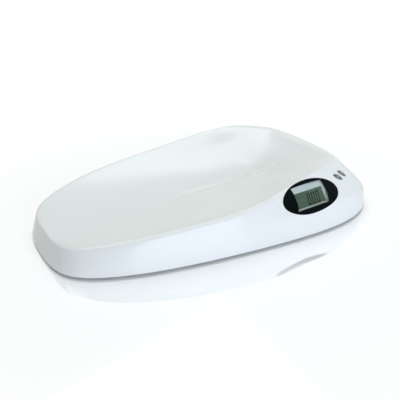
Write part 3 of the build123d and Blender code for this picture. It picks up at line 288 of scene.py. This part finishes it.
TOWARDS_NEAR_SIDE = Vector((0, -1, 0.5))
lcd_frame = face_frame(NODES["lcd_panel"], TOWARDS_NEAR_SIDE)
print("LCD face:", [round(c, 4) for c in lcd_frame.translation])

# %% [markdown]
# Three noughts repeat one shape, so geometry nodes make them. One segment is a thin flat bar with a hair's
# gap to the next. Six of them stand round a nought, and a line of points carries three noughts, sheared
# as such digits are. The tree takes the sizes as inputs, and a few sums in it give each bar its length and
# place. Realize Instances and Set Material finish it.

# %% A tree for the noughts
DIGIT_HEIGHT, DIGIT_WIDTH, DIGIT_PITCH = 19.6 * MM, 5.2 * MM, 9.8 * MM
SEGMENT_WIDTH, SEGMENT_GAP, SEGMENT_THICKNESS = 2.1 * MM, 0.25 * MM, 0.05 * MM
DIGIT_SLANT = 0.14  # sideways lean per unit of height
DIGIT_SUMS = (  # each a new size, its operation, and the two sizes or numbers that it takes
    ("half height", "MULTIPLY", "Height", 0.5), ("upright bar", "SUBTRACT", "half height", "Gap"),
    ("inner width", "SUBTRACT", "Width", "Stroke"), ("level bar", "SUBTRACT", "inner width", "Gap"),
    ("right", "MULTIPLY", "Width", 0.5), ("left", "MULTIPLY", "right", -1.0),
    ("upper", "MULTIPLY", "Height", 0.25), ("lower", "MULTIPLY", "upper", -1.0),
    ("inner height", "SUBTRACT", "Height", "Stroke"), ("top", "MULTIPLY", "inner height", 0.5),
    ("bottom", "MULTIPLY", "top", -1.0), ("half thickness", "MULTIPLY", "Thickness", 0.5),
)


def digits_tree():
    """A row of noughts of seven-segment bars, sheared."""
    tree = bpy.data.node_groups.new("lcd_noughts", "GeometryNodeTree")
    tree.interface.new_socket("Geometry", in_out="INPUT", socket_type="NodeSocketGeometry")
    for name in ("Height", "Width", "Pitch", "Stroke", "Gap", "Thickness", "Slant"):
        tree.interface.new_socket(name, in_out="INPUT", socket_type="NodeSocketFloat")
    tree.interface.new_socket("Count", in_out="INPUT", socket_type="NodeSocketInt")
    tree.interface.new_socket("Ink", in_out="INPUT", socket_type="NodeSocketMaterial")
    tree.interface.new_socket("Geometry", in_out="OUTPUT", socket_type="NodeSocketGeometry")
    given, made = add_node(tree, "NodeGroupInput"), add_node(tree, "NodeGroupOutput")
    size = {socket.name: socket for socket in given.outputs}
    for name, operation, *terms in DIGIT_SUMS:
        first, second = (size.get(term, term) for term in terms)
        rule = {"operation": operation}
        size[name] = add_node(tree, "ShaderNodeMath", rule, _0=first, _1=second).outputs[0]

    def bar(length, x, y, turn):
        """One segment: a flat bar, turned to stand or to lie."""
        extent = add_node(tree, "ShaderNodeCombineXYZ", X=size[length], Y=size["Stroke"], Z=size["Thickness"])
        shape = add_node(tree, "GeometryNodeMeshCube", Size=extent.outputs[0])
        place = add_node(tree, "ShaderNodeCombineXYZ", X=size.get(x, x), Y=size[y], Z=size["half thickness"])
        moved = add_node(
            tree, "GeometryNodeTransform",
            _0=shape.outputs["Mesh"], Translation=place.outputs[0], Rotation=(0, 0, turn),
        )
        return moved.outputs[0]

    bars = [bar("upright bar", x, y, math.pi / 2) for x in ("right", "left") for y in ("upper", "lower")]
    bars += [bar("level bar", 0.0, y, 0.0) for y in ("top", "bottom")]
    nought = add_node(tree, "GeometryNodeJoinGeometry")
    for segment in bars:
        tree.links.new(segment, nought.inputs[0])
    step = add_node(tree, "ShaderNodeCombineXYZ", X=size["Pitch"])
    row = add_node(tree, "GeometryNodeMeshLine", Count=size["Count"], Offset=step.outputs[0])
    copies = add_node(tree, "GeometryNodeInstanceOnPoints", Points=row.outputs[0], Instance=nought.outputs[0])
    real = add_node(tree, "GeometryNodeRealizeInstances", _0=copies.outputs[0])
    where = add_node(tree, "GeometryNodeInputPosition")
    height = add_node(tree, "ShaderNodeSeparateXYZ", _0=where.outputs[0]).outputs["Y"]
    slant = add_node(tree, "ShaderNodeMath", {"operation": "MULTIPLY"}, _0=height, _1=size["Slant"])
    lean = add_node(tree, "ShaderNodeCombineXYZ", X=slant.outputs[0])
    sheared = add_node(tree, "GeometryNodeSetPosition", Geometry=real.outputs[0], Offset=lean.outputs[0])
    inked = add_node(tree, "GeometryNodeSetMaterial", Geometry=sheared.outputs[0], Material=size["Ink"])
    tree.links.new(inked.outputs[0], made.inputs[0])
    return tree


NOUGHTS = digits_tree()
print("nodes in the tree:", len(NOUGHTS.nodes))

# %% [markdown]
# A geometry tree makes its shape only while it hangs on an object. So an empty carrier wears it for a moment,
# its result is copied into a plain mesh, which the export can carry, and the carrier goes. The place on the
# glass is put into the mesh itself.

# %% The noughts on the glass
INK_LIFT = 0.02 * MM  # ink over the glass
FIRST_DIGIT = (0.2 * MM, -1.7 * MM)  # middle of the first nought, from the middle of the glass


def plain_mesh(tree, name, place, **values):
    """The result of a geometry tree as an object with a plain mesh, with its place in its mesh."""
    carrier = bpy.data.objects.new(name + "_carrier", bpy.data.meshes.new(name))
    bpy.context.scene.collection.objects.link(carrier)
    modifier = carrier.modifiers.new(name, "NODES")
    modifier.node_group = tree
    set_inputs(modifier, **values)
    bpy.context.view_layer.update()
    mesh = bpy.data.meshes.new_from_object(carrier.evaluated_get(bpy.context.evaluated_depsgraph_get()))
    bpy.data.objects.remove(carrier)
    mesh.transform(place)
    made = bpy.data.objects.new(name, mesh)
    bpy.context.scene.collection.objects.link(made)
    return made


noughts = plain_mesh(
    NOUGHTS, "lcd_noughts", lcd_frame @ Matrix.Translation((*FIRST_DIGIT, INK_LIFT)),
    Height=DIGIT_HEIGHT, Width=DIGIT_WIDTH, Pitch=DIGIT_PITCH, Stroke=SEGMENT_WIDTH, Gap=SEGMENT_GAP,
    Thickness=SEGMENT_THICKNESS, Slant=DIGIT_SLANT, Count=3, Ink=LCD_INK,
)
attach(noughts, "scale_body")
print("segments:", len(noughts.data.polygons), "faces")

# %% [markdown]
# The decimal point is a square dot between the first two noughts, at their feet. A tree would be much for one
# dot, so a small function makes a flat band along a path, and the dot is a band as long as it is wide. The
# signs on the keys use the same function.


# %% The decimal point
def mesh_object(name, vertices, faces, material, body):
    """A new piece from its vertices and faces, riding on a body."""
    mesh = bpy.data.meshes.new(name)
    mesh.from_pydata(vertices, [], faces)
    mesh.materials.append(material)
    made = bpy.data.objects.new(name, mesh)
    bpy.context.scene.collection.objects.link(made)
    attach(made, body)
    return made


def flat_band(path, width):
    """Vertices and faces of a closed band along a path: first its underside, at z 0, then its top, at z 1."""
    last = len(path) - 1
    vertices, faces = [], []
    for k, point in enumerate(path):
        along = (path[min(k + 1, last)] - path[max(k - 1, 0)]).normalized()
        side = Vector((-along.y, along.x, 0)) * width / 2
        vertices += [point - side, point + side]
    flat = len(vertices)
    vertices += [v + Vector((0, 0, 1)) for v in vertices]
    for a in range(0, 2 * last, 2):
        b, c, d = a + 2, a + 3, a + 1
        faces += [(a, d, c, b), (a + flat, b + flat, c + flat, d + flat)]
        faces += [(a, b, b + flat, a + flat), (d, d + flat, c + flat, c)]
    end = 2 * last
    faces += [(0, flat, flat + 1, 1), (end, end + 1, end + 1 + flat, end + flat)]
    return vertices, faces


DOT = 1.5 * MM  # side of the square
dot_x = FIRST_DIGIT[0] + DIGIT_PITCH / 2 - DIGIT_SLANT * DIGIT_HEIGHT / 2
dot_y = FIRST_DIGIT[1] - DIGIT_HEIGHT / 2
dot = [Vector((dot_x - DOT / 2, dot_y, 0)), Vector((dot_x + DOT / 2, dot_y, 0))]
dot_vertices, dot_faces = flat_band(dot, DOT)
dot_vertices = [lcd_frame @ Vector((v.x, v.y, INK_LIFT + SEGMENT_THICKNESS * v.z)) for v in dot_vertices]
mesh_object("lcd_point", dot_vertices, dot_faces, LCD_INK, "scale_body")
print("decimal point, in mm from the middle of the glass:", round(dot_x / MM, 2), round(dot_y / MM, 2))

# %% [markdown]
# The keys carry small printed signs: a broken ring with a bar for on and off, and a plain nought for zero.
# The caps are curved, so each sign is drawn flat above its key and every vertex then drops straight onto
# the cap.

# %% Signs on the keys
SIGN_HEIGHT, SIGN_STROKE, SIGN_THICKNESS = 4.6 * MM, 0.8 * MM, 0.04 * MM
RING_ARC = (125, 415)  # degrees, open at the top
BAR_ENDS = (0.15, 0.62)  # shares of the sign's height, up from its middle
NOUGHT_WIDTH, NOUGHT_HEIGHT = SIGN_HEIGHT * 0.68, SIGN_HEIGHT * 1.1
NOUGHT_ARC = (0, 345)  # degrees, with a small gap
PRINT_LIFT = 0.01 * MM  # print over the cap
ABOVE_CAP = 30 * MM  # where a sign is drawn, before it drops onto its cap
key_joint = next(joint for joint in frame["joints"] if joint["name"] == "on_off_press")
KEY_NORMAL = -Vector(key_joint["axis"]).normalized()


def ring(width, height, start, end, steps=24):
    """Points of an oval arc about the origin, in degrees."""
    turns = [math.radians(start + (end - start) * k / steps) for k in range(steps + 1)]
    return [Vector((width / 2 * math.cos(t), height / 2 * math.sin(t), 0)) for t in turns]


def press_sign(name, path, key):
    """A printed sign on a key's cap."""
    mesh = NODES[f"{key}_key"].data
    tree = BVHTree.FromPolygons([v.co for v in mesh.vertices], [p.vertices[:] for p in mesh.polygons])
    low, high = (Vector(corner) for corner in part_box(f"{key}_key"))
    level = Vector((0, 0, 1)).cross(KEY_NORMAL).normalized()
    up = KEY_NORMAL.cross(level)
    start = (low + high) / 2 + KEY_NORMAL * ABOVE_CAP
    vertices, faces = flat_band(path, SIGN_STROKE)
    placed = []
    for v in vertices:
        above = start + level * v.x + up * v.y
        hit = tree.ray_cast(above, -KEY_NORMAL)[0]
        placed.append(hit + KEY_NORMAL * (PRINT_LIFT + SIGN_THICKNESS * v.z))
    return mesh_object(name, placed, faces, MARK_WHITE, f"{key}_button")


press_sign("on_off_sign_ring", ring(SIGN_HEIGHT, SIGN_HEIGHT, *RING_ARC), "on_off")
press_sign("on_off_sign_bar", [Vector((0, share * SIGN_HEIGHT, 0)) for share in BAR_ENDS], "on_off")
press_sign("zero_sign", ring(NOUGHT_WIDTH, NOUGHT_HEIGHT, *NOUGHT_ARC), "zero")
print("signs on the keys, which face", [round(c, 3) for c in KEY_NORMAL])

# %% [markdown]
# The scale stands on a polished white table, which mirrors it, so its shader mixes a mirror with a white coat.
# A second coat, which only the camera sees, brightens the table, and away from the scale it fades to pure
# white. So the ground is white without more light on the scale.

# %% Floor
FLOOR_SIZE = 12.0  # metres a side, so wide that its edge is lost in the white
FLOOR_MIRROR = 0.45  # share of the light that the table mirrors
FLOOR_EXTRA = "#989898"  # added to the white for the camera alone
FADE_START, FADE_END = 0.3, 0.62  # metres from the middle, between which the table fades to white


def white_table():
    """A polished white table that fades to pure white."""
    material = bpy.data.materials.new("white acrylic table")
    material.use_nodes = True
    tree = material.node_tree
    tree.nodes.clear()
    rays = add_node(tree, "ShaderNodeLightPath")
    colour = add_node(tree, "ShaderNodeBsdfDiffuse", Color=linear("#F2F2F2"))
    extra = add_node(tree, "ShaderNodeBsdfDiffuse", Color=linear(FLOOR_EXTRA))
    seen = add_node(tree, "ShaderNodeMixShader", _0=rays.outputs["Is Camera Ray"], _2=extra.outputs[0])
    body = add_node(tree, "ShaderNodeAddShader", _0=colour.outputs[0], _1=seen.outputs[0])
    mirror = add_node(tree, "ShaderNodeBsdfAnisotropic", Color=linear("#FFFFFF"), Roughness=0.06)
    mix = add_node(tree, "ShaderNodeMixShader", _0=FLOOR_MIRROR, _1=body.outputs[0], _2=mirror.outputs[0])
    place = add_node(tree, "ShaderNodeTexCoord").outputs["Object"]
    away = add_node(tree, "ShaderNodeVectorMath", {"operation": "LENGTH"}, _0=place).outputs["Value"]
    smoothstep = {"interpolation_type": "SMOOTHSTEP"}
    fade = add_node(tree, "ShaderNodeMapRange", smoothstep, _0=away, _1=FADE_START, _2=FADE_END).outputs[0]
    multiply = {"operation": "MULTIPLY"}
    amount = add_node(tree, "ShaderNodeMath", multiply, _0=fade, _1=rays.outputs["Is Camera Ray"]).outputs[0]
    white = add_node(tree, "ShaderNodeEmission", Color=linear("#FFFFFF"), Strength=1.0)
    faded = add_node(tree, "ShaderNodeMixShader", _0=amount, _1=mix.outputs[0], _2=white.outputs[0])
    add_node(tree, "ShaderNodeOutputMaterial", Surface=faded.outputs[0])
    return material


bpy.ops.mesh.primitive_plane_add(size=FLOOR_SIZE)
floor = bpy.context.object
floor.name = "floor"
floor.data.materials.append(white_table())
print("floor:", floor.dimensions[:])

# %% [markdown]
# A large soft lamp overhead lights the tray's far wall, and a cool one in front fills the near wall. A flag,
# which is a black cloth that neither camera nor mirrors see here, keeps light off the low end.

# %% Lamps and flag
FLAG_SIZE, FLAG_PLACE = 1.6, (-1.1, 0.1, 0.8)
scene = bpy.context.scene


def soft_lamp(name, place, aim, size, watts, colour):
    """A rectangular lamp at a place, aimed at a point."""
    light = bpy.data.lights.new(name, "AREA")
    light.shape = "RECTANGLE"
    light.size, light.size_y = size
    light.energy, light.color = watts, linear(colour)[:3]
    lamp = bpy.data.objects.new(name, light)
    lamp.location = place
    lamp.rotation_euler = (Vector(aim) - Vector(place)).to_track_quat("-Z", "Y").to_euler()
    scene.collection.objects.link(lamp)
    return lamp


soft_lamp("overhead softbox", place=(-0.15, 0.6, 1.6), aim=(-0.05, 0.1, 0), size=(2.4, 1.0), watts=15,
          colour="#FFFFFF")
soft_lamp("front fill", place=(0.0, -2.3, 0.6), aim=(0.1, -0.1, 0), size=(1.6, 0.8), watts=22,
          colour="#E2E9FF")

bpy.ops.mesh.primitive_plane_add(size=FLAG_SIZE, location=FLAG_PLACE, rotation=(0, math.radians(90), 0))
flag = bpy.context.object
flag.name = "flag"
flag.data.materials.append(finish("black cloth", "#0A0C0C", 0.9))
flag.visible_camera = flag.visible_glossy = False

# %% [markdown]
# The world adds pale grey light with a touch of green. Camera and mirrors see a white world instead, which no
# real studio has, but it keeps the ground and its reflections white.

# %% World
SKY_HORIZON, SKY_MIDDLE, SKY_TOP = "#E4E6E8", "#AEB9B2", "#C9D0CC"
SKY_MIDDLE_HEIGHT = 0.45  # 0 is the horizon and 1 is straight above
SKY_STRENGTH = 0.85
world = bpy.data.worlds.new("studio")
scene.world = world
world.use_nodes = True
sky = world.node_tree
sky.nodes.clear()
direction = add_node(sky, "ShaderNodeTexCoord")
axes = add_node(sky, "ShaderNodeSeparateXYZ", _0=direction.outputs["Generated"])
ramp = add_node(sky, "ShaderNodeValToRGB", Fac=axes.outputs["Z"])
stops = ramp.color_ramp.elements
stops[0].position, stops[0].color = 0.0, linear(SKY_HORIZON)
stops[1].position, stops[1].color = 1.0, linear(SKY_TOP)
stops.new(SKY_MIDDLE_HEIGHT).color = linear(SKY_MIDDLE)
plain = add_node(sky, "ShaderNodeBackground", Color=ramp.outputs[0], Strength=SKY_STRENGTH)
white = add_node(sky, "ShaderNodeBackground", Color=linear("#FFFFFF"), Strength=1.0)
rays = add_node(sky, "ShaderNodeLightPath")
seen, mirrored = rays.outputs["Is Camera Ray"], rays.outputs["Is Glossy Ray"]
looks = add_node(sky, "ShaderNodeMath", {"operation": "MAXIMUM"}, _0=seen, _1=mirrored)
pick = add_node(sky, "ShaderNodeMixShader", _0=looks.outputs[0], _1=plain.outputs[0], _2=white.outputs[0])
add_node(sky, "ShaderNodeOutputWorld", Surface=pick.outputs[0])
print("world:", len(sky.nodes), "nodes")

# %% [markdown]
# The camera stands in front of the low end and looks down at the middle of the scale from nearly a metre
# away. Its lens is a little shorter than the diagonal of its square sensor, which is close to how the eye
# sees. A small shift places the scale in the frame.

# %% Camera
CAMERA_PLACE, LENS_MM, SENSOR_MM = Vector((-0.4321, -0.7209, 0.4297)), 46.39, 36.0
SHIFT = (-0.0055, 0.0238)
camera_data = bpy.data.cameras.new("camera")
camera_data.lens, camera_data.sensor_width = LENS_MM, SENSOR_MM
camera_data.shift_x, camera_data.shift_y = SHIFT
camera = bpy.data.objects.new("camera", camera_data)
camera.location = CAMERA_PLACE
camera.rotation_euler = (-CAMERA_PLACE).to_track_quat("-Z", "Y").to_euler()
scene.collection.objects.link(camera)
scene.camera = camera
scene.view_settings.view_transform = "Standard"
print("camera:", [round(c, 3) for c in camera.location])
